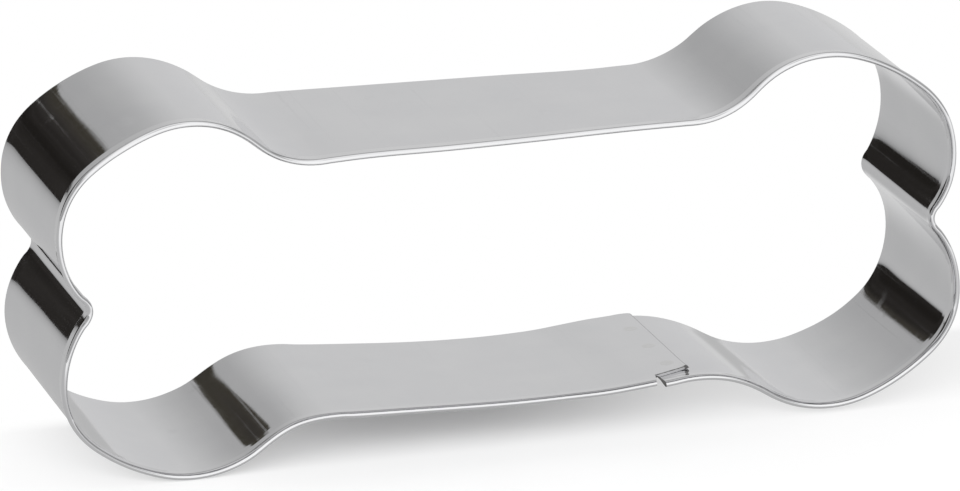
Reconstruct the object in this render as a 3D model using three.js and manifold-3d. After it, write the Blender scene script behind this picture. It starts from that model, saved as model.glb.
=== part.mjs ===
// Bone-shaped cookie cutter: one strip of polished stainless sheet, hemmed along the edge that the hand
// presses, bent round into a bone and closed by a spot-welded lap. It stands on its two lower lobes.
// Millimetres, +Z up. X runs along the bone, the hem faces -Y and the cutting edge faces +Y.
import * as THREE from 'three';
import { mergeVertices } from 'three/addons/utils/BufferGeometryUtils.js';
import Module from 'manifold-3d';

// The strip
const STRIP_WIDTH = 22; // front of the hem to the cutting edge
const SHEET = 0.3; // sheet thickness
const LAYER_GAP = 0.08; // between two layers of sheet that lie on each other
const HEM_LEG = 2; // reach of the leg folded back over the outside, from the front of the hem

// The bone, measured on the middle of the sheet
const LENGTH = 96.6; // from the end of one lobe to the other
const TOP_SHANK = 13.2; // upper shank above the level of the notches
const BOTTOM_SHANK = 14; // ends of the lower shank below that level
const SHANK_BOW = 6.2; // degrees that the lower shank leans at each end, so that it bellies out
const NOTCH_RADIUS = 1.7;
const NOTCH_TURN = 40.5; // degrees from the middle of a notch to its lobe
const SIDE_RADIUS = 9.6; // lobe beside the notch
const SHOULDER_RADIUS = 19.4; // flatter stretch across the corner of the lobe
const SHOULDER_TURN = 24; // degrees
const CROWN_RADIUS = 11.25; // top of an upper lobe, bottom of a lower one
const CROWN_TURN = 16.5; // degrees from the shoulder to the highest point of the crown
const NECK_STRAIGHT = 1.5; // flat between a crown and its neck
const TOP_NECK_RADIUS = 10.2;
const BOTTOM_NECK_RADIUS = 13.7;
const FLARE = 0.14; // wall further out at the cutting edge than at the hem, all round
const TWIST_DROP = 0.9; // cutting edge below the hem at the right end, and above it at the left end
const LEAN = 1.35; // degrees that the bone is out of square, its upper lobes to the left

// The lap that closes the ring
const LAP_FROM_MIDDLE = 16.3; // middle of the lower shank to the outer end of the strip
const LAP_LENGTH = 3.5;
const LAP_EASE = 8; // length over which the inner end moves in to lie on the outer one
const HEM_BREAK = 0.5; // gap between the two ends of the hem
const TAB_CLEARANCE = 0.35; // front of the inner end, behind the end of the hem leg
const TAB_CORNER = 0.6; // rounded corner of the inner end at the cutting edge

// The spot welds
const WELD_PITCH = 6; // from one weld to the next across the strip
const WELD_DIAMETER = 1.5;
const WELD_CLEARANCE = 0.1; // weld to the sheet round it
const WELD_DENT = 0.05; // each end of a weld below the face of the sheet
const WELD_BEVEL = 0.1; // softened rim of a weld

// Facets
const FACET_SAG = 0.025; // largest distance from a chord to its arc
const FACET_TURN = 15; // largest turn of one facet, in degrees
const FOLD_STEPS = 6; // facets round the fold of the hem
const SLIT_STEPS = 3; // facets round the bottom of the slit in the hem
const EASE_STEPS = 8; // facets along the ease of the lap
const CORNER_STEPS = 4; // facets round the corner of the tab
const WELD_SIDES = 24;
const LEAST_STEP = 0.1; // shortest facet along the strip

const wasm = await Module();
wasm.setup();

const rad = THREE.MathUtils.degToRad;

// Bends of one quarter of the bone, from the end of a shank to the middle of a notch. A positive radius
// bends to the left, and a run with no radius is straight. The turn of the neck follows from the height
// that is left between the crown and the shank.
function quarterRuns(shankHeight, neckRadius, bow) {
  const notchTurn = rad(NOTCH_TURN);
  const shoulderTurn = rad(SHOULDER_TURN);
  const crownTurn = rad(CROWN_TURN);
  const sideEnd = Math.PI - crownTurn - shoulderTurn;
  const shoulderEnd = Math.PI - crownTurn;
  const sideRise = SIDE_RADIUS * (Math.sin(notchTurn) - Math.cos(sideEnd));
  const shoulderRise = SHOULDER_RADIUS * (Math.cos(sideEnd) - Math.cos(shoulderEnd));
  const crownRise = CROWN_RADIUS * (Math.cos(shoulderEnd) + 1);
  const lobeHeight = NOTCH_RADIUS * Math.sin(notchTurn) + sideRise + shoulderRise + crownRise;
  const radii = CROWN_RADIUS + neckRadius;
  const level = CROWN_RADIUS + neckRadius * Math.cos(bow) - (lobeHeight - shankHeight);
  const lean = Math.atan2(NECK_STRAIGHT, radii);
  const neckTurn = Math.acos(level / Math.hypot(radii, NECK_STRAIGHT)) - lean;
  return [
    { radius: -neckRadius, turn: neckTurn + bow },
    { length: NECK_STRAIGHT },
    { radius: CROWN_RADIUS, turn: neckTurn + crownTurn },
    { radius: SHOULDER_RADIUS, turn: shoulderTurn },
    { radius: SIDE_RADIUS, turn: Math.PI / 2 + notchTurn - crownTurn - shoulderTurn },
    { radius: -NOTCH_RADIUS, turn: notchTurn },
  ];
}

function runLength(run) {
  return run.radius ? Math.abs(run.radius) * run.turn : run.length;
}

// The place and heading after a share of a run
function along(start, run, share) {
  const { x, z, heading } = start;
  if (!run.radius) {
    const step = run.length * share;
    return { x: x + step * Math.cos(heading), z: z + step * Math.sin(heading), heading };
  }
  const next = heading + Math.sign(run.radius) * run.turn * share;
  return {
    x: x + run.radius * (Math.sin(next) - Math.sin(heading)),
    z: z - run.radius * (Math.cos(next) - Math.cos(heading)),
    heading: next,
  };
}

function facetCount(run) {
  if (!run.radius) {
    return 1;
  }
  const bySag = 2 * Math.acos(1 - FACET_SAG / Math.abs(run.radius));
  return Math.ceil(run.turn / Math.min(bySag, rad(FACET_TURN)));
}

// The closed outline, walked from the middle of the lower shank to the right and round
function boneOutline() {
  const bow = rad(SHANK_BOW);
  const top = quarterRuns(TOP_SHANK, TOP_NECK_RADIUS, 0);
  const bottom = quarterRuns(BOTTOM_SHANK, BOTTOM_NECK_RADIUS, bow);
  const reach = (runs, heading) => {
    let state = { x: 0, z: 0, heading };
    for (const run of runs) {
      state = along(state, run, 1);
    }
    return state.x;
  };
  const notchDepth = (NOTCH_RADIUS + SIDE_RADIUS) * (1 - Math.cos(rad(NOTCH_TURN)));
  const notchX = LENGTH / 2 - notchDepth;
  const topHalf = notchX - reach(top, 0);
  const bottomHalf = notchX - reach(bottom, bow);
  const belly = { radius: bottomHalf / Math.sin(bow), turn: bow };
  const runs = [
    belly, ...bottom, ...top.toReversed(),
    { length: 2 * topHalf }, ...top, ...bottom.toReversed(), belly,
  ];

  const places = [];
  const knots = [];
  let perimeter = 0;
  let state = { x: 0, z: -BOTTOM_SHANK - belly.radius * (1 - Math.cos(bow)), heading: 0 };
  for (const run of runs) {
    const length = runLength(run);
    const count = facetCount(run);
    places.push({ run, length, start: state, from: perimeter });
    for (let i = 0; i < count; i += 1) {
      knots.push(perimeter + (length * i) / count);
    }
    perimeter += length;
    state = along(state, run, 1);
  }
  const at = (distance) => {
    const wrapped = distance % perimeter;
    const place = places.findLast((item) => item.from <= wrapped);
    return along(place.start, place.run, (wrapped - place.from) / place.length);
  };
  return { perimeter, knots, at };
}

// Distances along the strip: it starts at the outer end of the lap and ends at the tab's free end
const outline = boneOutline();
const stripStart = LAP_FROM_MIDDLE;
const hemEnd = outline.perimeter + stripStart - HEM_BREAK;
const stripEnd = outline.perimeter + stripStart + LAP_LENGTH;

// Positions across the strip
const hemFront = -STRIP_WIDTH / 2;
const cuttingEdge = STRIP_WIDTH / 2;
const tabFront = hemFront + HEM_LEG + TAB_CLEARANCE;

// The inner end of the strip moves in by one layer before it passes over the outer end
function layerShift(distance) {
  return (SHEET + LAYER_GAP) * THREE.MathUtils.smoothstep(distance, hemEnd - LAP_EASE, hemEnd);
}

// The wall stands out more towards the cutting edge
function flareAt(across) {
  return (FLARE * across) / STRIP_WIDTH;
}

// The cutting edge, drawn back round the corner of the tab
function edgeAt(distance) {
  const past = Math.max(0, distance - (stripEnd - TAB_CORNER));
  return cuttingEdge - TAB_CORNER + Math.sqrt(Math.max(0, TAB_CORNER ** 2 - past ** 2));
}

// The flat wall, as offsets from the middle of the sheet (outward) and positions across the strip
function wallSection(distance) {
  const edge = edgeAt(distance);
  return [
    new THREE.Vector2(SHEET / 2, tabFront),
    new THREE.Vector2(SHEET / 2, edge),
    new THREE.Vector2(-SHEET / 2, edge),
    new THREE.Vector2(-SHEET / 2, tabFront),
  ];
}

// The hem, from the inner face of the wall round the fold, the leg and the slit to the outer face
function hemSection() {
  const foldRadius = SHEET + LAYER_GAP / 2;
  const centre = new THREE.Vector2(foldRadius - SHEET / 2, hemFront + foldRadius);
  const round = (radius, angle) => new THREE.Vector2(
    centre.x + radius * Math.cos(angle),
    centre.y + radius * Math.sin(angle),
  );
  const points = [];
  for (let i = 0; i <= FOLD_STEPS; i += 1) {
    points.push(round(foldRadius, Math.PI + (Math.PI * i) / FOLD_STEPS));
  }
  points.push(new THREE.Vector2(centre.x + foldRadius, hemFront + HEM_LEG));
  points.push(new THREE.Vector2(centre.x + LAYER_GAP / 2, hemFront + HEM_LEG));
  for (let i = 0; i <= SLIT_STEPS; i += 1) {
    points.push(round(LAYER_GAP / 2, (-Math.PI * i) / SLIT_STEPS));
  }
  return points;
}

// Stations along the strip: those that a feature needs, and the outline's own where they keep clear
function stripStations() {
  const needed = [stripStart, stripEnd];
  for (let i = 0; i <= EASE_STEPS; i += 1) {
    needed.push(hemEnd - LAP_EASE + (LAP_EASE * i) / EASE_STEPS);
  }
  for (let i = 0; i < CORNER_STEPS; i += 1) {
    const angle = (Math.PI / 2) * (i / CORNER_STEPS);
    needed.push(stripEnd - TAB_CORNER + TAB_CORNER * Math.sin(angle));
  }
  const turns = [...outline.knots, ...outline.knots.map((knot) => knot + outline.perimeter)];
  const clear = (knot) => needed.every((distance) => Math.abs(distance - knot) > LEAST_STEP);
  const inside = (knot) => knot > stripStart && knot < stripEnd;
  return [...needed, ...turns.filter((knot) => inside(knot) && clear(knot))].sort((a, b) => a - b);
}

// One closed skin: the full section as far as the end of the hem, and the wall alone along the tab
function stripGeometry() {
  const hem = hemSection();
  const wallCount = wallSection(stripStart).length;
  const fullCount = wallCount + hem.length;
  const stations = stripStations();
  const sections = stations.map((distance) => [...wallSection(distance), ...hem]);
  const rings = stations.map((distance, i) => {
    const { x, z, heading } = outline.at(distance);
    const shift = layerShift(distance);
    return sections[i].map((point) => {
      const out = point.x - shift + flareAt(point.y);
      return new THREE.Vector3(x + out * Math.sin(heading), point.y, z - out * Math.cos(heading));
    });
  });
  const hemStation = stations.indexOf(hemEnd);
  const corners = [];
  const cap = (station, order) => {
    const contour = order.map((k) => sections[station][k]);
    for (const face of THREE.ShapeUtils.triangulateShape(contour, [])) {
      corners.push(...face.map((k) => rings[station][order[k]]));
    }
  };
  const last = stations.length - 1;
  for (let i = 0; i < last; i += 1) {
    const count = i < hemStation ? fullCount : wallCount;
    for (let k = 0; k < count; k += 1) {
      const next = (k + 1) % count;
      corners.push(rings[i][k], rings[i][next], rings[i + 1][next]);
      corners.push(rings[i][k], rings[i + 1][next], rings[i + 1][k]);
    }
  }
  const full = Array.from({ length: fullCount }, (_, k) => k);
  const start = corners.length;
  cap(0, full);
  for (let k = start; k < corners.length; k += 3) {
    [corners[k + 1], corners[k + 2]] = [corners[k + 2], corners[k + 1]];
  }
  cap(hemStation, [...full.slice(wallCount - 1), 0]);
  cap(last, full.slice(0, wallCount));
  return new THREE.BufferGeometry().setFromPoints(corners);
}

// A weld's own shape or the hole for it, about the Y axis
function weldGeometry(radius, length, bevel) {
  const half = length / 2;
  const profile = [
    new THREE.Vector2(0, -half),
    new THREE.Vector2(radius - bevel, -half),
    new THREE.Vector2(radius, -half + bevel),
    new THREE.Vector2(radius, half - bevel),
    new THREE.Vector2(radius - bevel, half),
    new THREE.Vector2(0, half),
  ];
  return new THREE.LatheGeometry(profile, WELD_SIDES);
}

// Sets a weld in the middle of the lap, square to the sheet
function placeWeld(geometry, across) {
  const { x, z, heading } = outline.at(stripStart + LAP_LENGTH / 2);
  const outward = new THREE.Vector3(Math.sin(heading), 0, -Math.cos(heading));
  const turn = new THREE.Quaternion().setFromUnitVectors(new THREE.Vector3(0, 1, 0), outward);
  const out = flareAt(across) - (SHEET + LAYER_GAP) / 2;
  geometry.applyQuaternion(turn);
  return geometry.translate(x + out * outward.x, across, z + out * outward.z);
}

function toSolid(geometry) {
  geometry.deleteAttribute('normal');
  geometry.deleteAttribute('uv');
  const merged = mergeVertices(geometry);
  return new wasm.Manifold(new wasm.Mesh({
    numProp: 3,
    vertProperties: Float32Array.from(merged.attributes.position.array),
    triVerts: Uint32Array.from(merged.index.array),
  }));
}

function toGeometry(solid) {
  const mesh = solid.getMesh();
  const geometry = new THREE.BufferGeometry();
  geometry.setAttribute('position', new THREE.BufferAttribute(mesh.vertProperties, 3));
  geometry.setIndex(new THREE.BufferAttribute(mesh.triVerts, 1));
  return geometry;
}

// The bent strip is a little out of true: its upper lobes lean to the left, and its far edge falls towards
// the right end and rises to the left
function settle(geometry) {
  const points = geometry.attributes.position;
  for (let i = 0; i < points.count; i += 1) {
    const x = points.getX(i) - points.getZ(i) * Math.tan(rad(LEAN));
    const drop = (TWIST_DROP * x * points.getY(i)) / ((LENGTH / 2) * STRIP_WIDTH);
    points.setX(i, x);
    points.setZ(i, points.getZ(i) - drop);
  }
  geometry.computeVertexNormals();
  geometry.computeBoundingBox();
  return geometry;
}

const lapThickness = 2 * SHEET + LAYER_GAP;
const weldPlaces = { weld_hem_side: -WELD_PITCH, weld_middle: 0, weld_edge_side: WELD_PITCH };

let strip = toSolid(stripGeometry());
for (const across of Object.values(weldPlaces)) {
  const hole = weldGeometry(WELD_DIAMETER / 2 + WELD_CLEARANCE, 2 * lapThickness, WELD_BEVEL);
  strip = strip.subtract(toSolid(placeWeld(hole, across)));
}

const polished = new THREE.MeshStandardMaterial({ color: 0xc6c7c9, roughness: 0.08, metalness: 1 });
const fused = new THREE.MeshStandardMaterial({ color: 0xaeafb1, roughness: 0.3, metalness: 1 });

const cutter = new THREE.Group();
const band = new THREE.Mesh(settle(toGeometry(strip)), polished);
band.name = 'cutter_band';
cutter.add(band);

const welds = new THREE.Group();
for (const [name, across] of Object.entries(weldPlaces)) {
  const nugget = weldGeometry(WELD_DIAMETER / 2, lapThickness - 2 * WELD_DENT, WELD_BEVEL);
  const weld = new THREE.Mesh(settle(toGeometry(toSolid(placeWeld(nugget, across)))), fused);
  weld.name = name;
  welds.add(weld);
}
cutter.add(welds);

// The lowest point of the lower lobes lies on the floor
cutter.position.z = -band.geometry.boundingBox.min.z;

export default cutter;
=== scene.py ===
import math

import bpy
import numpy as np
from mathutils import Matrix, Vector


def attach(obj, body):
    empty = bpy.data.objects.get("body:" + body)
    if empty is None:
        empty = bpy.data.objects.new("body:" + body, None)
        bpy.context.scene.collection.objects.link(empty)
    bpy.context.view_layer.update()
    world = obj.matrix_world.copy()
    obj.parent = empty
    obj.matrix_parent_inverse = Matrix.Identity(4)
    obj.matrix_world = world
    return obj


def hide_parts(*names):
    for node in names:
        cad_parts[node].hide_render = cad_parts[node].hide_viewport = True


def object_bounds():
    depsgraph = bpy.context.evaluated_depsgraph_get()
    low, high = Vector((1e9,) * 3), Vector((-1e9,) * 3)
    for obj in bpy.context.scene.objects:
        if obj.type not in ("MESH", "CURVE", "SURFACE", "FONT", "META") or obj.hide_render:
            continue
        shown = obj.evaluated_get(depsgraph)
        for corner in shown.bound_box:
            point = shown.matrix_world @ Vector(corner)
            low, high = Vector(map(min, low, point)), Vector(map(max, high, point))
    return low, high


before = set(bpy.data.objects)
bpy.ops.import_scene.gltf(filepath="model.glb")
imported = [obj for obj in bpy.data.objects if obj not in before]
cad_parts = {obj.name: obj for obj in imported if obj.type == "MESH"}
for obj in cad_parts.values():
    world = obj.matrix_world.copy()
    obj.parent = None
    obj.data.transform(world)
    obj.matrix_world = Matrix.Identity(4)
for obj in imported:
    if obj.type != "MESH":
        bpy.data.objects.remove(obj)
cad_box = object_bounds()

MM = 0.001

# The strip, in millimetres as in the part's source
STRIP_WIDTH = 22.0
SHEET = 0.3
LAYER_GAP = 0.08
HEM_LEG = 2.0
EDGE_ROUND = 0.06  # round on the edges of the sheet

# The faces of the pressed hem, which swell towards its round front: places across and offsets outward
LEG_FACE = ((-10.5, 0.38), (-9.06, 0.18))
INNER_FACE = ((-10.4, -0.27), (-9.5, -0.175), (-8.7, -0.15))
FACE_SOFTEN, SOFTEN_SAMPLES = 0.08, 9  # how far their corners are eased
LEG_END_IN, LEG_END_BEVEL = 0.155, 0.05  # the corner of the leg's end that lies on the wall

# The bone, on the middle of the sheet
LENGTH = 96.6
TOP_SHANK = 13.2
BOTTOM_SHANK = 14.0
SHANK_BOW = math.radians(6.2)
NOTCH_RADIUS = 1.7
NOTCH_TURN = math.radians(40.5)
SIDE_RADIUS = 9.6
SHOULDER_RADIUS = 19.4
SHOULDER_TURN = math.radians(24)
CROWN_RADIUS = 11.25
CROWN_TURN = math.radians(16.5)
NECK_STRAIGHT = 1.5
TOP_NECK_RADIUS = 10.2
BOTTOM_NECK_RADIUS = 13.7
FLARE = 0.14
TWIST_DROP = 0.9
LEAN = math.radians(1.35)

# The lap
LAP_FROM_MIDDLE = 16.3
LAP_LENGTH = 3.5
LAP_EASE = 8.0
LAP_GAP = 0.015
HEM_BREAK = 0.5
HEM_SLANT, HEM_SLANT_LENGTH = 0.5, 1.5  # the end of the hem is cut on the slant
TAB_CORNER = 0.6
TAB_FRONT_LEFT, TAB_FRONT_RIGHT = -8.95, -8.1  # the tab's front is cut on the slant too
TAB_LIP, TAB_LIP_LENGTH = 0.05, 0.3  # and rubbed down
LIP_STEP, LIP_STEP_SHARE = 0.03, 0.8  # the rubbed face close behind the front
TAB_ROLL, TAB_ROLL_LENGTH = 0.2, 0.25  # its end is rolled over by the shears
TAB_LIFT, TAB_LIFT_LENGTH, TAB_LIFT_WIDTH = 0.12, 1.0, 1.4  # its front corner stands off
TAB_END_TRIM = 0.002  # keeps the last ring of the tab off the very end of its round corner
ROUND_SHARE = 0.4  # most of the tab's thickness that a round or the lip takes

# The spot welds
WELD_PITCH = 6.0
WELD_DIAMETER = 1.5
WELD_PROUD = 0.004  # above each face of the lap
WELD_PROFILE = ((0.02, 0.0), (0.7, 0.0), (0.9, 0.001), (1.0, -0.008))  # share of the radius and rise
WELD_SIDES = 40

# How far the hem and the cutting edge stand out of the true bone, at equal steps round the strip
HEM_OFFSETS = np.array([
    0.07, 0.14, 0.25, 0.55, 0.70, 0.67, 0.52, 0.52,
    0.37, 0.23, 0.16, 0.06, 0.09, 0.31, 0.03, 0.09,
    0.17, 0.12, -0.16, -0.07, -0.18, -0.09, 0.01, 0.07,
    0.16, 0.16, 0.03, 0.04, 0.12, 0.16, 0.14, 0.12,
    0.12, 0.13, 0.16, 0.27, 0.31, 0.17, 0.02, 0.00,
    0.04, -0.04, -0.16, -0.20, -0.01, 0.04, -0.11, -0.08,
    -0.21, -0.39, -0.22, 0.28, 0.27, 0.18, 0.16, 0.13,
    0.20, 0.50, 0.08, 0.44, 0.20, 0.02, -0.03, -0.01,
])
EDGE_OFFSETS = np.array([
    0.17, 0.23, 0.23, 0.23, 0.34, 0.50, 0.62, 0.52,
    0.01, -0.39, -0.49, -0.34, -0.36, -0.38, -0.22, 0.22,
    0.01, -0.48, -0.55, -0.34, -0.20, -0.25, -0.19, -0.16,
    -0.27, -0.16, 0.04, -0.10, -0.22, -0.16, -0.04, 0.04,
    0.09, 0.15, 0.21, 0.26, 0.33, 0.38, 0.26, -0.11,
    -0.28, -0.26, -0.32, -0.35, -0.28, -0.21, -0.31, -0.23,
    -0.40, -0.43, -0.16, -0.10, -0.01, 0.03, -0.09, -0.29,
    -0.34, -0.03, -0.24, 0.00, -0.01, -0.06, 0.00, 0.09,
])
NOTCH_PINCH, PINCH_WIDTH = 0.18, 1.0  # how much deeper the left notch is bent
LEFT_NOTCH = 0.75  # its place, as a share of the way round
CURL = 0.03  # lift of the strip's edges where it is bent, which springs from the bending itself
CURL_RATE, LEAST_CURL_RATE = 1.29, 0.02  # how fast the lift dies out across the strip
CURL_BEND = 0.015  # bend at which half of the lift is reached
RIPPLES = ((0.0015, 71, 0.4), (0.001, 113, -0.7))  # height, waves round the strip, turn per mm across

# The mesh
LONGEST_STEP, STEP_TURN = 0.6, math.radians(3.5)  # from one ring of the strip to the next
LEAST_BEND = 1e-6
WALL_ROWS, INNER_HEM_ROWS, LEG_ROWS, NOSE_ROWS = 24, 30, 24, 11
ROUND_ROWS, LEG_ROUND_ROWS = 5, 6
TAB_ROWS, TAB_RINGS, TAB_CORNER_RINGS = 10, 9, 17
ROW_MARGIN = 0.05  # from the end of a flat face to the row close to it
SAME_PLACE = 1e-7
SHARP_ANGLE = math.radians(40)

# The camera
AZIMUTH = math.radians(-17.725)
ELEVATION = math.radians(18.378)
DISTANCE = 1548.74
PIXELS_PER_MM = 9.6584
AIM = (-0.017, 0.0, -1.313)  # from the level of the notches
HALF_PIXEL = 0.5 / PIXELS_PER_MM
IMAGE_WIDTH = 960
SENSOR_WIDTH = 36.0
CLIP_START, CLIP_END = 0.05, 20.0

# Shader nodes
FEW_OCTAVES, SOME_OCTAVES, MANY_OCTAVES = 2.0, 3.0, 4.0  # detail of a noise
MIX_LOW, MIX_HIGH, MIX_RESULT = 6, 7, 2  # the colour sockets of a mix

# The steel: scales of its noises along and across the strip, and the ranges that are used of them
ROLLING_LINES = (60, 5000, 1)
CLOUDS = (160, 160, 1)
SCRATCHES, SCRATCH_RANGE = (1500, 15, 1), (0.52, 0.75)
SMEARS, SMEAR_RANGE = (260, 260, 1), (0.62, 0.72)
MOST_NOISE = (0.3, 0.7)  # where most of a noise lies
STEEL_TINTS = (0.755, 0.756, 0.769), (0.782, 0.782, 0.791)
# dark tints for the lap's sheared edges, and for the painted shadow at the tab's corner
LAP_DARKENING_TINTS = (0.05, 0.047, 0.044), (0.09, 0.085, 0.08)
STEEL_ROUGHNESS = (0.035, 0.075)
SCRATCH_ROUGHNESS, SMEAR_ROUGHNESS, LAP_DARKENING_ROUGHNESS = 0.16, 0.1, 0.4
LINE_STRENGTH, LINE_DEPTH = 0.03, 0.00005

# Darker lines along the lap's sheared edges, and a painted shadow at the tab's corner, in millimetres from
# the edge that each lies along, and how strong each is
LIP_DARK_LINE_START, LIP_DARK_LINE_END = (0.02, 0.05), (0.22, 0.12)
LIP_BREAK_SCALE, LIP_BREAK_RANGE, LIP_BREAK_SHARES = 1800.0, (0.4, 0.6), (0.25, 0.9)
TAB_START_FADE = 0.05
# painted shadow under the tab's front corner, where it stands off the sheet
CORNER_PAINTED_SHADOW_ALONG, CORNER_PAINTED_SHADOW_BEHIND, CORNER_PAINTED_SHADOW = (0.6, 0.45), (0.42, 0.3), 0.8
END_DARK_LINE_ALONG, END_DARK_LINE = (0.32, 0.2), 0.5
START_DARK_LINE_ALONG, START_DARK_LINE = (0.02, 0.005), 0.85

# The weld metal
WELD_GRAIN = 4000.0
WELD_TINTS = (0.71, 0.708, 0.706), (0.77, 0.769, 0.768)
WELD_ROUGHNESS = (0.06, 0.15)

# The floor, in metres from the middle of the cutter
FLOOR_HALF = 6.0
FLOOR_TINTS = (0.89, 0.89, 0.89), (0.91, 0.91, 0.91)
FLOOR_NOISE = 30.0
FLOOR_ROUGHNESS = 0.9
# painted shade on the floor towards the dark card
CARD_SHADE_AWAY, CARD_SHADE_LEFT, CARD_SHADE_SHARES = (0.12, 0.65), (0.1, -0.15), (0.05, 0.42)  # darker away on the left
# a glow painted on the floor for the eye: white behind the cutter and far round it, part white beside the
# lobes, lighting the shadow out there
WHITE_BEHIND, WHITE_AROUND = (0.006, 0.013), (0.1, 0.4)  # where the eye sees plain white
WHITE_LEFT, WHITE_LEFT_SHARE = (-0.008, -0.036), 0.4
WHITE_RIGHT, WHITE_RIGHT_SHARE = (-0.005, 0.036), 0.6
UNLIT_IN_STEEL = 0.85  # share of the light on the floor that the steel doesn't see
FLOOR_IN_STEEL = 0.39  # what it sees instead, round the cutter
FRONT_IN_STEEL, FRONT_REACH = 0.88, (-0.02, -0.08)  # and further in front
BEYOND_IN_STEEL = 0.16  # and how much more behind, far off on the right and close by at the right end
FAR_BEHIND, FAR_RIGHT = (0.06, 0.25), (-0.02, 0.06)
NEAR_BEHIND, NEAR_RIGHT = (0.01, 0.04), (0.035, 0.05)

# The cards behind, in metres
CARD_EDGE, CARD_AWAY, CARD_FOOT, CARD_TOP = -0.176, 0.70, 0.0065, 0.44
CARD_REACH = 0.9
DARK_CLOUDS, DARK_CLOUD_SHARE = (14, 14, 3), 0.6
DARK_STREAKS, DARK_STREAK_SHARE = (110, 1, 6), 0.4
DARK_RANGE = (0.4, 0.62)
DEEP_TINTS = (0.014, 0.0125, 0.011), (0.034, 0.031, 0.029)
OLIVE_TINTS = (0.048, 0.043, 0.033), (0.074, 0.067, 0.054)  # towards the upper right corner
OLIVE_RIGHT, OLIVE_UP = (-0.24, -0.175), (0.12, 0.30)
GREY_SPAN = (-0.2, 0.3)
GREY_STOPS = (
    (0.0, (0.441, 0.441, 0.441)),
    (0.2, (0.460, 0.460, 0.460)),
    (0.4, (0.527, 0.527, 0.527)),
    (0.6, (0.607, 0.607, 0.607)),
    (0.8, (0.673, 0.673, 0.673)),
    (1.0, (0.673, 0.673, 0.677)),
)

# The studio: strengths, and the shares of a direction or the degrees of height over which they change
AMBIENT = 0.69  # for all but the steel
BEHIND_LIGHT = 0.665  # what the steel sees
SIDE_LIGHT, SIDE_FADE = 0.4, (0.6, 1.0)
BEAM_LIGHT, BEAM_FOOT, BEAM_HEAD = 0.25, (31, 34), (40, 47)
FRONT_LIGHT, FRONT_FADE = 1.18, (0.3, -0.4)
BESIDE_FADE, BESIDE_HEIGHT = (0.42, 0.62), (50, 30)  # the front light leaves off low down at the sides
TOP_LIGHT, TOP_FADE = 1.1, (50, 70)
ZENITH_LIGHT, ZENITH_FADE = 0.72, (72, 80)
LAMP_WATTS = 49.0
LAMP_SIZE = (3.0, 1.2)
LAMP_PLACE, LAMP_FACING = (-0.75, -1.0, 0.6), (0.75, 1.0, 0)


def quarter_runs(shank, neck_radius, bow):
    """Bends from the end of a shank to the middle of a notch, as (radius, turn) or (None, length)."""
    side_end = math.pi - CROWN_TURN - SHOULDER_TURN
    shoulder_end = math.pi - CROWN_TURN
    lobe = (
        NOTCH_RADIUS * math.sin(NOTCH_TURN)
        + SIDE_RADIUS * (math.sin(NOTCH_TURN) - math.cos(side_end))
        + SHOULDER_RADIUS * (math.cos(side_end) - math.cos(shoulder_end))
        + CROWN_RADIUS * (math.cos(shoulder_end) + 1)
    )
    radii = CROWN_RADIUS + neck_radius
    level = CROWN_RADIUS + neck_radius * math.cos(bow) - (lobe - shank)
    neck_turn = math.acos(level / math.hypot(radii, NECK_STRAIGHT)) - math.atan2(NECK_STRAIGHT, radii)
    return [
        (-neck_radius, neck_turn + bow),
        (None, NECK_STRAIGHT),
        (CROWN_RADIUS, neck_turn + CROWN_TURN),
        (SHOULDER_RADIUS, SHOULDER_TURN),
        (SIDE_RADIUS, math.pi / 2 + NOTCH_TURN - CROWN_TURN - SHOULDER_TURN),
        (-NOTCH_RADIUS, NOTCH_TURN),
    ]


def run_end(state, run):
    """The place and heading at the end of a bend."""
    x, z, heading = state
    radius, amount = run
    if radius is None:
        return x + amount * math.cos(heading), z + amount * math.sin(heading), heading
    turned = heading + math.copysign(amount, radius)
    return (
        x + radius * (math.sin(turned) - math.sin(heading)),
        z - radius * (math.cos(turned) - math.cos(heading)),
        turned,
    )


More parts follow.
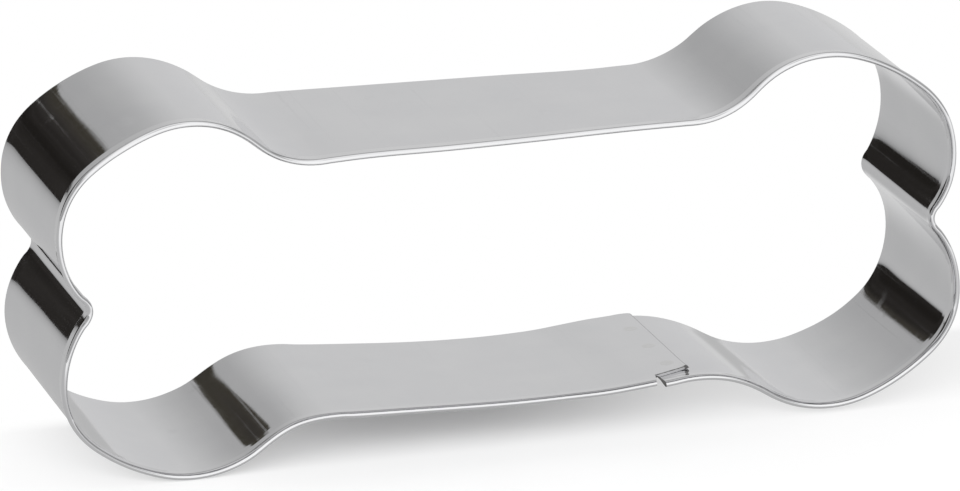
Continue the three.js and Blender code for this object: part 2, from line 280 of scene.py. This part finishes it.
class Outline:
    """The closed outline of the bone by distance from the middle of the lower shank.

    Its bends run softly into each other.
    """

    STEP = 0.05
    SOFTEN = 0.25

    def __init__(self):
        top = quarter_runs(TOP_SHANK, TOP_NECK_RADIUS, 0.0)
        bottom = quarter_runs(BOTTOM_SHANK, BOTTOM_NECK_RADIUS, SHANK_BOW)

        def reach(runs, heading):
            state = (0.0, 0.0, heading)
            for run in runs:
                state = run_end(state, run)
            return state[0]

        notch_x = LENGTH / 2 - (NOTCH_RADIUS + SIDE_RADIUS) * (1 - math.cos(NOTCH_TURN))
        top_half = notch_x - reach(top, 0.0)
        bottom_half = notch_x - reach(bottom, SHANK_BOW)
        belly = (bottom_half / math.sin(SHANK_BOW), SHANK_BOW)
        runs = [belly, *bottom, *top[::-1], (None, 2 * top_half), *top, *bottom[::-1], belly]
        knots, headings = [0.0], [0.0]
        for radius, amount in runs:
            length = amount if radius is None else abs(radius) * amount
            turn = 0.0 if radius is None else math.copysign(amount, radius)
            knots.append(knots[-1] + length)
            headings.append(headings[-1] + turn)
        self.perimeter = knots[-1]
        count = round(self.perimeter / self.STEP)
        self.s = np.arange(count + 1) * self.perimeter / count
        step = self.perimeter / count
        plain = np.interp(self.s, knots, headings)
        wave = (plain - 2 * math.pi * self.s / self.perimeter)[:-1]
        reachable = np.minimum(np.arange(count), count - np.arange(count)) * step
        kernel = np.exp(-0.5 * (reachable / self.SOFTEN) ** 2)
        kernel /= kernel.sum()
        soft = np.fft.irfft(np.fft.rfft(wave) * np.fft.rfft(kernel), count)
        self.heading = np.append(soft, soft[0]) + 2 * math.pi * self.s / self.perimeter
        self.start = -BOTTOM_SHANK - belly[0] * (1 - math.cos(SHANK_BOW))
        first = self.walk(plain, step)
        walked = self.walk(self.heading, step)
        walked += first.mean(0) - walked.mean(0)
        self.x, self.z = walked[:, 0], walked[:, 1]
        self.bend = np.gradient(self.heading, self.s)

    def walk(self, heading, step):
        """Places along the headings, with what is missing at the end shared out so that they close."""
        middle = (heading[1:] + heading[:-1]) / 2
        moves = np.stack([np.cos(middle), np.sin(middle)], 1) * step
        path = np.vstack([[0.0, self.start], [0.0, self.start] + np.cumsum(moves, 0)])
        drift = path[-1] - path[0]
        return path - np.linspace(0, 1, len(path))[:, None] * drift

    def at(self, s):
        turns, rest = np.divmod(s, self.perimeter)
        x = np.interp(rest, self.s, self.x)
        z = np.interp(rest, self.s, self.z)
        return x, z, np.interp(rest, self.s, self.heading) + turns * 2 * math.pi

    def bend_at(self, s):
        return np.interp(np.mod(s, self.perimeter), self.s, self.bend)


outline = Outline()
strip_start = LAP_FROM_MIDDLE
hem_end = outline.perimeter + strip_start - HEM_BREAK
strip_end = outline.perimeter + strip_start + LAP_LENGTH
hem_front = -STRIP_WIDTH / 2
cutting_edge = STRIP_WIDTH / 2


def smoothstep(value, low, high):
    t = np.clip((value - low) / (high - low), 0, 1)
    return t * t * (3 - 2 * t)


def layer_shift(s):
    """The inner end of the strip moves in by one layer before it passes over the outer end."""
    return (SHEET + LAP_GAP) * smoothstep(s, hem_end - LAP_EASE, hem_end)


def edge_at(s):
    """The cutting edge, drawn back round the corner of the tab."""
    past = np.maximum(0, s - (strip_end - TAB_CORNER))
    return cutting_edge - TAB_CORNER + np.sqrt(np.maximum(0, TAB_CORNER**2 - past**2))


def tab_front(s):
    return np.interp(s, (hem_end, strip_end), (TAB_FRONT_LEFT, TAB_FRONT_RIGHT))


def corner_lift(s, y):
    """The tab's front corner stands off the sheet under it a little."""
    along = smoothstep(s, strip_end - TAB_LIFT_LENGTH, strip_end)
    across = smoothstep(-y, -TAB_FRONT_RIGHT - TAB_LIFT_WIDTH, -TAB_FRONT_RIGHT)
    return TAB_LIFT * along * across


def round_table(values, s):
    """A smooth closed curve through equal steps round the strip."""
    u = np.asarray(s) / outline.perimeter * len(values)
    base = np.floor(u).astype(int)
    total = 0.0
    for k in range(-1, 3):
        away = np.abs(u - base - k)
        weight = np.where(away < 1, 2 / 3 - away**2 + away**3 / 2, (2 - np.minimum(away, 2)) ** 3 / 6)
        total = total + weight * values[(base + k) % len(values)]
    return total


def curl(s, y):
    """The edges of a bent strip lift a little against the bend, over a width that follows its radius."""
    bend = outline.bend_at(s)
    rate = CURL_RATE * np.sqrt(np.abs(bend) / SHEET) + LEAST_CURL_RATE
    total = 0.0
    for gap in (cutting_edge - y, y - hem_front):
        total = total + np.exp(-rate * gap) * (np.cos(rate * gap) - np.sin(rate * gap))
    return CURL * bend / (np.abs(bend) + CURL_BEND) * total


def unevenness(s, y):
    """How far the sheet stands out of the true outline."""
    share = (y - hem_front) / STRIP_WIDTH
    bent = round_table(HEM_OFFSETS, s) * (1 - share) + round_table(EDGE_OFFSETS, s) * share
    from_notch = np.mod(s, outline.perimeter) - LEFT_NOTCH * outline.perimeter
    pinch = NOTCH_PINCH * np.exp(-((from_notch / PINCH_WIDTH) ** 2))
    u = 2 * math.pi * s / outline.perimeter
    ripple = sum(height * np.sin(waves * u + turn * y) for height, waves, turn in RIPPLES)
    return bent - pinch + curl(s, y) + ripple + FLARE * y / STRIP_WIDTH


def spread(low, high, count):
    """Rows across a flat face. One close to each end keeps the shading of the round beside it off."""
    return np.concatenate([[low], np.linspace(low + ROW_MARGIN, high - ROW_MARGIN, count), [high]])


def arc(centre, radius, start, stop, count):
    angles = np.linspace(start, stop, count)
    return np.stack([centre[0] + radius * np.cos(angles), centre[1] + radius * np.sin(angles)], 1)


def nose(length, start, stop):
    """A quarter of the hem's round front."""
    angles = np.linspace(start, stop, NOSE_ROWS)
    out, inner = LEG_FACE[0][1], INNER_FACE[0][1]
    middle, reach = (out + inner) / 2, (out - inner) / 2
    return np.stack([middle + reach * np.cos(angles), hem_front + length + length * np.sin(angles)], 1)


def pressed_face(corners, rows):
    """Points of a face of the hem, with its corners eased."""
    places, offsets = np.array(corners).T
    near = np.linspace(-FACE_SOFTEN, FACE_SOFTEN, SOFTEN_SAMPLES)
    eased = np.mean([np.interp(rows + step, places, offsets) for step in near], axis=0)
    return np.stack([eased, rows], 1)


def flat(d, ys):
    return np.stack([np.full(len(ys), d), ys], 1)


def drop_repeats(points):
    keep = np.linalg.norm(points - np.roll(points, 1, 0), axis=1) > SAME_PLACE
    return points[keep]


def full_section():
    """The strip's section with its hem folded outwards, as offsets outward and places across."""
    half, e = SHEET / 2, EDGE_ROUND
    edge = cutting_edge - e
    leg_end = hem_front + HEM_LEG
    slit = hem_front + SHEET + LAYER_GAP / 2
    leg = np.linspace(leg_end - e, LEG_FACE[0][0], LEG_ROWS)
    inner = np.concatenate([
        np.linspace(INNER_FACE[0][0], INNER_FACE[-1][0], INNER_HEM_ROWS)[:-1],
        spread(INNER_FACE[-1][0], edge, WALL_ROWS),
    ])
    slit_points = [
        (half + LAYER_GAP / 2, slit - LAYER_GAP / 2),
        (half + LAYER_GAP, slit),
        (LEG_END_IN, leg_end - LEG_END_BEVEL),
    ]
    return drop_repeats(np.concatenate([
        arc((half - e, edge), e, math.pi / 2, 0, ROUND_ROWS),
        flat(half, spread(slit, edge, WALL_ROWS)[::-1]),
        slit_points,
        arc((LEG_FACE[-1][1] - e, leg_end - e), e, math.pi / 2, 0, LEG_ROUND_ROWS)[:-1],
        pressed_face(LEG_FACE, leg),
        nose(LEG_FACE[0][0] - hem_front, 0, -math.pi / 2)[1:],
        nose(INNER_FACE[0][0] - hem_front, -math.pi / 2, -math.pi)[1:-1],
        pressed_face(INNER_FACE, inner),
        arc((-half + e, edge), e, math.pi, math.pi / 2, ROUND_ROWS),
    ]))


def tab_section(front, edge, roll):
    """The tab between two places across, its inner face rubbed down at the front and by the roll."""
    half, inner = SHEET / 2, roll - SHEET / 2
    e = min(EDGE_ROUND, ROUND_SHARE * (half - inner))
    lip = min(TAB_LIP, ROUND_SHARE * (half - inner))
    return np.concatenate([
        arc((half - e, edge - e), e, math.pi / 2, 0, ROUND_ROWS)[:-1],
        flat(half, spread(front + e, edge - e, TAB_ROWS)[::-1]),
        arc((half - e, front + e), e, 0, -math.pi / 2, ROUND_ROWS)[1:],
        [(inner + lip, front), (inner + lip * LIP_STEP_SHARE, front + LIP_STEP)],
        flat(inner, spread(front + TAB_LIP_LENGTH, edge - e, TAB_ROWS)),
        arc((inner + e, edge - e), e, math.pi, math.pi / 2, ROUND_ROWS)[1:],
    ])


def stations(low, high):
    """Distances along the strip, closer together where it bends sharply."""
    found = [low]
    while found[-1] < high:
        bend = abs(float(outline.bend_at(found[-1])))
        found.append(found[-1] + min(LONGEST_STEP, STEP_TURN / max(bend, LEAST_BEND)))
    found = np.array(found)
    return low + (found - low) * (high - low) / (found[-1] - low)


def place(s, d, y):
    """Millimetres in the bone's own frame, before the cutter is stood on the floor."""
    x, z, heading = outline.at(s)
    d = d - layer_shift(s) + unevenness(s, y)
    px = x + d * np.sin(heading)
    pz = z - d * np.cos(heading)
    px = px - pz * math.tan(LEAN)
    pz = pz - TWIST_DROP * px * y / (LENGTH / 2 * STRIP_WIDTH)
    return np.stack([px, np.broadcast_to(y, px.shape), pz], -1)


def loft(rings):
    """Vertices and faces of a closed skin through rings of equal length, with a face on each end."""
    count, size = len(rings), len(rings[0])
    points = np.concatenate(rings)
    i = np.arange(count - 1)[:, None] * size
    k = np.arange(size)[None, :]
    n = (k + 1) % size
    quads = np.stack([i + k, i + n, i + n + size, i + k + size], -1).reshape(-1, 4)
    faces = [tuple(map(int, q)) for q in quads]
    faces.append(tuple(range(size))[::-1])
    faces.append(tuple(range((count - 1) * size, count * size)))
    return points, faces


def outward(points, faces):
    """Turns the faces of a closed skin outwards."""
    volume = 0.0
    for face in faces:
        a = points[face[0]]
        for b, c in zip(face[1:-1], face[2:]):
            volume += np.dot(a, np.cross(points[b], points[c]))
    return faces if volume > 0 else [face[::-1] for face in faces]


def strip_skin():
    """The strip as far as the end of its hem, and the tab that goes on from there."""
    section = full_section()
    rings, coords = [], []
    for s in stations(strip_start, hem_end):
        slant = HEM_SLANT * smoothstep(s, hem_end - HEM_SLANT_LENGTH, hem_end)
        along = s - slant * np.clip((hem_front + HEM_LEG - section[:, 1]) / HEM_LEG, 0, 1)
        rings.append(place(along, section[:, 0], section[:, 1]))
        coords.append(np.stack([along, section[:, 1]], 1))
    points, faces = loft(rings)
    uv = np.concatenate(coords)
    turns = np.linspace(0, math.pi / 2, TAB_CORNER_RINGS)
    ends = strip_end - TAB_CORNER + TAB_CORNER * np.sin(turns)
    tab = np.concatenate([np.linspace(hem_end, ends[0], TAB_RINGS)[:-1], ends])
    tab[-1] -= TAB_END_TRIM
    rings, coords = [], []
    for s in tab:
        past = max(0.0, s - strip_end + TAB_ROLL_LENGTH) / TAB_ROLL_LENGTH
        section = tab_section(float(tab_front(s)), float(edge_at(s)), TAB_ROLL * past**2)
        lifted = section[:, 0] - corner_lift(s, section[:, 1])
        along = np.full(len(section), s)
        rings.append(place(along, lifted, section[:, 1]))
        coords.append(np.stack([along, section[:, 1]], 1))
    tab_points, tab_faces = loft(rings)
    faces = outward(points, faces)
    tab_faces = outward(tab_points, tab_faces)
    faces += [tuple(k + len(points) for k in face) for face in tab_faces]
    return np.concatenate([points, tab_points]), faces, np.concatenate([uv, *coords])


def weld_skin(across):
    """A spot weld: a shallow dished disc on each side of the lap, joined through it."""
    radius = WELD_DIAMETER / 2
    top, bottom = SHEET / 2 + WELD_PROUD, -SHEET * 1.5 - LAP_GAP - WELD_PROUD
    profile = [(share, bottom - rise) for share, rise in WELD_PROFILE]
    profile += [(share, top + rise) for share, rise in WELD_PROFILE[::-1]]
    angles = np.linspace(0, 2 * math.pi, WELD_SIDES + 1)[:-1]
    rings, coords = [], []
    for share, d in profile:
        s = strip_start + LAP_LENGTH / 2 + radius * share * np.cos(angles)
        y = across + radius * share * np.sin(angles)
        rings.append(place(s, d, y))
        coords.append(np.stack([s, y], 1))
    points, faces = loft(rings)
    return points, outward(points, faces), np.concatenate(coords)


def make_object(name, points, faces, uv, lift, material):
    mesh = bpy.data.meshes.new(name)
    mesh.from_pydata([tuple(p) for p in (points + [0, 0, lift]) * MM], [], faces)
    mesh.validate()
    corner = np.zeros(len(mesh.loops), np.int32)
    mesh.loops.foreach_get("vertex_index", corner)
    layer = mesh.uv_layers.new(name="strip")
    layer.data.foreach_set("uv", (uv[corner] * MM).astype(np.float32).ravel())
    mesh.polygons.foreach_set("use_smooth", np.ones(len(mesh.polygons), bool))
    mesh.set_sharp_from_angle(angle=SHARP_ANGLE)
    mesh.materials.append(material)
    obj = bpy.data.objects.new(name, mesh)
    bpy.context.scene.collection.objects.link(obj)
    return obj


def link(tree, *pairs):
    for a, b in pairs:
        tree.links.new(a, b)


def add(tree, kind, **settings):
    made = tree.nodes.new(kind)
    for key, value in settings.items():
        setattr(made, key, value)
    return made


def noise(tree, vector, scale, detail=FEW_OCTAVES):
    made = add(tree, "ShaderNodeTexNoise")
    made.inputs["Scale"].default_value = scale
    made.inputs["Detail"].default_value = detail
    tree.links.new(vector, made.inputs["Vector"])
    return made.outputs["Fac"]


def stretched_noise(tree, vector, scale, detail):
    made = add(tree, "ShaderNodeMapping")
    made.inputs["Scale"].default_value = scale
    tree.links.new(vector, made.inputs["Vector"])
    return noise(tree, made.outputs["Vector"], 1.0, detail)


def map_range(tree, value, ends, low=0.0, high=1.0, smooth=True):
    """A value from low to high as another one goes from the first of the ends to the second."""
    made = add(tree, "ShaderNodeMapRange")
    made.interpolation_type = "SMOOTHSTEP" if smooth else "LINEAR"
    for name, number in zip(("From Min", "From Max", "To Min", "To Max"), (*ends, low, high)):
        made.inputs[name].default_value = number
    tree.links.new(value, made.inputs["Value"])
    return made.outputs["Result"]


def math_node(tree, operation, *values):
    made = add(tree, "ShaderNodeMath", operation=operation)
    for socket, value in zip(made.inputs, values):
        if isinstance(value, (int, float)):
            socket.default_value = value
        else:
            tree.links.new(value, socket)
    return made.outputs["Value"]


def times(tree, a, b):
    return math_node(tree, "MULTIPLY", a, b)


def separate(tree, vector):
    made = add(tree, "ShaderNodeSeparateXYZ")
    tree.links.new(vector, made.inputs[0])
    return made.outputs["X"], made.outputs["Y"], made.outputs["Z"]


def ramp(tree, value, *stops):
    made = add(tree, "ShaderNodeValToRGB")
    elements = made.color_ramp.elements
    while len(elements) < len(stops):
        elements.new(0.5)
    for element, (position, colour) in zip(elements, stops):
        element.position = position
        element.color = (*colour, 1)
    tree.links.new(value, made.inputs["Fac"])
    return made.outputs["Color"]


def mix(tree, share, low, high):
    made = add(tree, "ShaderNodeMix", data_type="RGBA")
    link(tree, (share, made.inputs["Factor"]), (low, made.inputs[MIX_LOW]), (high, made.inputs[MIX_HIGH]))
    return made.outputs[MIX_RESULT]


def new_material(name):
    material = bpy.data.materials.new(name)
    material.use_nodes = True
    tree = material.node_tree
    return material, tree, tree.nodes["Principled BSDF"]


def lap_dark_lines_and_painted_shadow(tree, uv):
    """Darker lines along the sheared edges of the lap: the tab's end, its front and the strip's start,
    with a painted shadow at the tab's corner.
    """
    along, across, _ = separate(tree, uv)

    def fade(value, low, high, amount=1.0):
        return map_range(tree, value, (low * MM, high * MM), high=amount)

    def from_end(ends, amount=1.0):
        return fade(along, strip_end - ends[0], strip_end - ends[1], amount)

    rise = (TAB_FRONT_RIGHT - TAB_FRONT_LEFT) / (strip_end - hem_end)
    line = TAB_FRONT_LEFT - rise * hem_end
    slanted = math_node(tree, "SUBTRACT", across, times(tree, along, rise))

    def behind_front(ends, amount=1.0):
        return fade(slanted, line + ends[0], line + ends[1], amount)

    broken = map_range(tree, noise(tree, uv, LIP_BREAK_SCALE), LIP_BREAK_RANGE, *LIP_BREAK_SHARES)
    on_tab = fade(along, hem_end, hem_end + TAB_START_FADE)
    lip = times(tree, behind_front(LIP_DARK_LINE_START), behind_front(LIP_DARK_LINE_END))
    lip = times(tree, times(tree, lip, broken), on_tab)
    # painted shadow under the lifted front corner of the tab
    corner = times(tree, from_end(CORNER_PAINTED_SHADOW_ALONG), behind_front(CORNER_PAINTED_SHADOW_BEHIND, CORNER_PAINTED_SHADOW))
    end = from_end(END_DARK_LINE_ALONG, END_DARK_LINE)
    low, high = START_DARK_LINE_ALONG
    total = fade(along, strip_start + low, strip_start + high, START_DARK_LINE)
    for part in (lip, corner, end):
        total = math_node(tree, "MAXIMUM", total, part)
    return total


def steel():
    """Polished sheet with fine rolling lines, scratches across the strip, smears, and darkened lines on
    the lap with a painted shadow at the tab's corner.
    """
    material, tree, shader = new_material("polished_steel")
    shader.inputs["Metallic"].default_value = 1.0
    uv = add(tree, "ShaderNodeTexCoord").outputs["UV"]
    rolled = stretched_noise(tree, uv, ROLLING_LINES, SOME_OCTAVES)
    cloudy = stretched_noise(tree, uv, CLOUDS, SOME_OCTAVES)
    tint = ramp(tree, cloudy, *zip(MOST_NOISE, STEEL_TINTS))
    # darkened lap edges, with the painted shadow at the tab's corner
    lap_darkening = lap_dark_lines_and_painted_shadow(tree, uv)
    dark = ramp(tree, cloudy, *zip(MOST_NOISE, LAP_DARKENING_TINTS))
    link(tree, (mix(tree, lap_darkening, tint, dark), shader.inputs["Base Color"]))
    scratches = stretched_noise(tree, uv, SCRATCHES, SOME_OCTAVES)
    smears = stretched_noise(tree, uv, SMEARS, MANY_OCTAVES)
    rough = map_range(tree, rolled, MOST_NOISE, *STEEL_ROUGHNESS)
    for part in (
        map_range(tree, scratches, SCRATCH_RANGE, high=SCRATCH_ROUGHNESS),
        map_range(tree, smears, SMEAR_RANGE, high=SMEAR_ROUGHNESS),
        times(tree, lap_darkening, LAP_DARKENING_ROUGHNESS),
    ):
        rough = math_node(tree, "ADD", rough, part)
    link(tree, (rough, shader.inputs["Roughness"]))
    bump = add(tree, "ShaderNodeBump")
    bump.inputs["Strength"].default_value = LINE_STRENGTH
    bump.inputs["Distance"].default_value = LINE_DEPTH
    link(tree, (rolled, bump.inputs["Height"]), (bump.outputs["Normal"], shader.inputs["Normal"]))
    return material


def weld_metal():
    material, tree, shader = new_material("weld_metal")
    shader.inputs["Metallic"].default_value = 1.0
    coords = add(tree, "ShaderNodeTexCoord").outputs["Object"]
    grain = noise(tree, coords, WELD_GRAIN, MANY_OCTAVES)
    tint = ramp(tree, grain, *zip(MOST_NOISE, WELD_TINTS))
    link(tree, (tint, shader.inputs["Base Color"]))
    link(tree, (map_range(tree, grain, MOST_NOISE, *WELD_ROUGHNESS), shader.inputs["Roughness"]))
    return material


def floor_paper():
    """Pale paper with painted shade, darker away on the left towards the dark card. The eye sees the
    shadow on it, and a painted glow of white beside and behind that.
    """
    material, tree, shader = new_material("pale_floor")
    coords = add(tree, "ShaderNodeTexCoord").outputs["Object"]
    x, y, _ = separate(tree, coords)
    # painted shade, darker away on the left towards the dark card
    away = map_range(tree, y, CARD_SHADE_AWAY, smooth=False)
    left = map_range(tree, x, CARD_SHADE_LEFT, *CARD_SHADE_SHARES)
    painted_card_shade = math_node(tree, "SUBTRACT", 1.0, times(tree, away, left))
    # painted glow for the eye, which lights the shadow out behind the cutter and partly beside it
    behind = map_range(tree, y, WHITE_BEHIND)
    aside = math_node(
        tree, "ADD",
        map_range(tree, x, WHITE_LEFT, high=WHITE_LEFT_SHARE),
        map_range(tree, x, WHITE_RIGHT, high=WHITE_RIGHT_SHARE),
    )
    reach = add(tree, "ShaderNodeVectorMath", operation="LENGTH")
    link(tree, (coords, reach.inputs[0]))
    around = map_range(tree, reach.outputs["Value"], WHITE_AROUND)
    white = math_node(tree, "MAXIMUM", math_node(tree, "MAXIMUM", behind, aside), around)
    path = add(tree, "ShaderNodeLightPath")
    seen, mirrored = path.outputs["Is Camera Ray"], path.outputs["Is Glossy Ray"]
    tint = ramp(tree, noise(tree, coords, FLOOR_NOISE), *zip(MOST_NOISE, FLOOR_TINTS))
    plain = math_node(tree, "SUBTRACT", 1.0, times(tree, white, seen))
    lit = math_node(tree, "SUBTRACT", plain, times(tree, mirrored, UNLIT_IN_STEEL))
    shade = add(tree, "ShaderNodeVectorMath", operation="SCALE")
    link(
        tree,
        (tint, shade.inputs[0]),
        (times(tree, painted_card_shade, lit), shade.inputs["Scale"]),
        (shade.outputs[0], shader.inputs["Base Color"]),
    )
    shader.inputs["Roughness"].default_value = FLOOR_ROUGHNESS
    shader.inputs["Specular IOR Level"].default_value = 0.0
    shader.inputs["Emission Color"].default_value = (1, 1, 1, 1)
    ahead = map_range(tree, y, FRONT_REACH, FLOOR_IN_STEEL, FRONT_IN_STEEL)
    beyond = math_node(tree, "MAXIMUM", *(
        times(tree, map_range(tree, y, along_y, high=BEYOND_IN_STEEL), map_range(tree, x, along_x))
        for along_y, along_x in ((FAR_BEHIND, FAR_RIGHT), (NEAR_BEHIND, NEAR_RIGHT))
    ))
    to_steel = times(tree, painted_card_shade, math_node(tree, "ADD", ahead, beyond))
    light = math_node(tree, "ADD", times(tree, seen, white), times(tree, mirrored, to_steel))
    link(tree, (light, shader.inputs["Emission Strength"]))
    return material


def glowing(shader, tree, tint):
    """Makes a card show its own colour, whatever light falls on it."""
    shader.inputs["Base Color"].default_value = (0, 0, 0, 1)
    shader.inputs["Specular IOR Level"].default_value = 0.0
    link(tree, (tint, shader.inputs["Emission Color"]))
    shader.inputs["Emission Strength"].default_value = 1.0


def dark_card():
    material, tree, shader = new_material("dark_card")
    coords = add(tree, "ShaderNodeTexCoord").outputs["Object"]
    clouds = stretched_noise(tree, coords, DARK_CLOUDS, SOME_OCTAVES)
    streaks = stretched_noise(tree, coords, DARK_STREAKS, FEW_OCTAVES)
    mottled = math_node(
        tree, "ADD", times(tree, clouds, DARK_CLOUD_SHARE), times(tree, streaks, DARK_STREAK_SHARE))
    x, _, z = separate(tree, coords)
    corner = times(tree, map_range(tree, x, OLIVE_RIGHT), map_range(tree, z, OLIVE_UP))
    deep = ramp(tree, mottled, *zip(DARK_RANGE, DEEP_TINTS))
    olive = ramp(tree, mottled, *zip(DARK_RANGE, OLIVE_TINTS))
    glowing(shader, tree, mix(tree, corner, deep, olive))
    return material


def grey_card():
    material, tree, shader = new_material("grey_card")
    x, _, _ = separate(tree, add(tree, "ShaderNodeTexCoord").outputs["Object"])
    glowing(shader, tree, ramp(tree, map_range(tree, x, GREY_SPAN, smooth=False), *GREY_STOPS))
    return material


def stage_plane(name, corners, material):
    mesh = bpy.data.meshes.new(name)
    mesh.from_pydata(corners, [], [tuple(range(len(corners)))])
    mesh.materials.append(material)
    obj = bpy.data.objects.new(name, mesh)
    bpy.context.scene.collection.objects.link(obj)
    return obj


def stage_card(name, right, left, foot, material):
    """An upright card behind the cutter that only reflections see."""
    corners = ((right, foot), (left, foot), (left, CARD_TOP), (right, CARD_TOP))
    card = stage_plane(name, [(x, CARD_AWAY, z) for x, z in corners], material)
    card.visible_camera = False
    card.visible_diffuse = False
    card.visible_shadow = False


def studio_world():
    """White to the eye, and for the steel a light that changes gently by direction."""
    world = bpy.data.worlds.new("studio")
    world.use_nodes = True
    tree = world.node_tree
    background = tree.nodes["Background"]
    x, y, z = separate(tree, add(tree, "ShaderNodeTexCoord").outputs["Generated"])
    height = math_node(tree, "ARCSINE", z)
    sideways = math_node(tree, "ABSOLUTE", x)

    def by_height(degrees, low=0.0, high=1.0):
        return map_range(tree, height, [math.radians(angle) for angle in degrees], low, high)

    def between(low, high, share):
        rest = math_node(tree, "SUBTRACT", 1.0, share)
        return math_node(tree, "ADD", times(tree, low, rest), times(tree, high, share))

    beside = times(tree, map_range(tree, sideways, BESIDE_FADE), by_height(BESIDE_HEIGHT))
    front = times(tree, map_range(tree, y, FRONT_FADE), math_node(tree, "SUBTRACT", 1.0, beside))
    beam = times(tree, by_height(BEAM_FOOT), by_height(BEAM_HEAD, 1.0, 0.0))
    light = between(BEHIND_LIGHT, SIDE_LIGHT, map_range(tree, sideways, SIDE_FADE))
    for strength, share in (
        (BEAM_LIGHT, beam),
        (FRONT_LIGHT, front),
        (TOP_LIGHT, by_height(TOP_FADE)),
        (ZENITH_LIGHT, by_height(ZENITH_FADE)),
    ):
        light = between(light, strength, share)
    path = add(tree, "ShaderNodeLightPath")
    background.inputs["Color"].default_value = (1, 1, 1, 1)
    ambient = between(AMBIENT, light, path.outputs["Is Glossy Ray"])
    seen = between(ambient, 1.0, path.outputs["Is Camera Ray"])
    link(tree, (seen, background.inputs["Strength"]))
    return world


# The pieces
steel_material, weld_material = steel(), weld_metal()
points, faces, uv = strip_skin()
lift = cad_box[0].z / MM - points[:, 2].min()
band = make_object("band", points, faces, uv, lift, steel_material)
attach(band, "root")
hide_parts("cutter_band")
for node, across in (("weld_hem_side", -WELD_PITCH), ("weld_middle", 0.0), ("weld_edge_side", WELD_PITCH)):
    weld = make_object("spot_" + node, *weld_skin(across), lift, weld_material)
    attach(weld, "root")
    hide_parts(node)

# The floor, and behind the cutter a dark card on the left and a grey one that gets paler to the right
floor_corners = [(x * FLOOR_HALF, y * FLOOR_HALF, 0) for x, y in ((-1, -1), (1, -1), (1, 1), (-1, 1))]
stage_plane("floor", floor_corners, floor_paper())
stage_card("dark_card", CARD_EDGE, -CARD_REACH, CARD_FOOT, dark_card())
stage_card("grey_card", CARD_REACH, CARD_EDGE, 0.0, grey_card())
bpy.context.scene.world = studio_world()

# A wide soft box at the front left, so that the cutter's shadow lies under and behind it
lamp = bpy.data.lights.new("front_lamp", "AREA")
lamp.shape = "RECTANGLE"
lamp.size, lamp.size_y = LAMP_SIZE
lamp.energy = LAMP_WATTS
front_lamp = bpy.data.objects.new("front_lamp", lamp)
bpy.context.scene.collection.objects.link(front_lamp)
front_lamp.location = LAMP_PLACE
front_lamp.rotation_mode = "QUATERNION"
front_lamp.rotation_quaternion = Vector(LAMP_FACING).to_track_quat("-Z", "Y")
front_lamp.visible_glossy = False
front_lamp.visible_camera = False

# The camera
camera = bpy.data.cameras.new("camera")
camera.sensor_fit = "HORIZONTAL"
camera.sensor_width = SENSOR_WIDTH
camera.lens = SENSOR_WIDTH * PIXELS_PER_MM * DISTANCE / IMAGE_WIDTH
camera.clip_start, camera.clip_end = CLIP_START, CLIP_END
eye = bpy.data.objects.new("camera", camera)
bpy.context.scene.collection.objects.link(eye)
to_eye = Vector((
    math.sin(AZIMUTH) * math.cos(ELEVATION),
    -math.cos(AZIMUTH) * math.cos(ELEVATION),
    math.sin(ELEVATION),
))
level = Vector((math.cos(AZIMUTH), math.sin(AZIMUTH), 0.0))
upright = to_eye.cross(level)
target = Vector(AIM) + Vector((0.0, 0.0, lift)) + (upright - level) * HALF_PIXEL
eye.location = (target + to_eye * DISTANCE) * MM
eye.rotation_mode = "QUATERNION"
eye.rotation_quaternion = (-to_eye).to_track_quat("-Z", "Y")
bpy.context.scene.camera = eye
bpy.context.scene.view_settings.view_transform = "Standard"
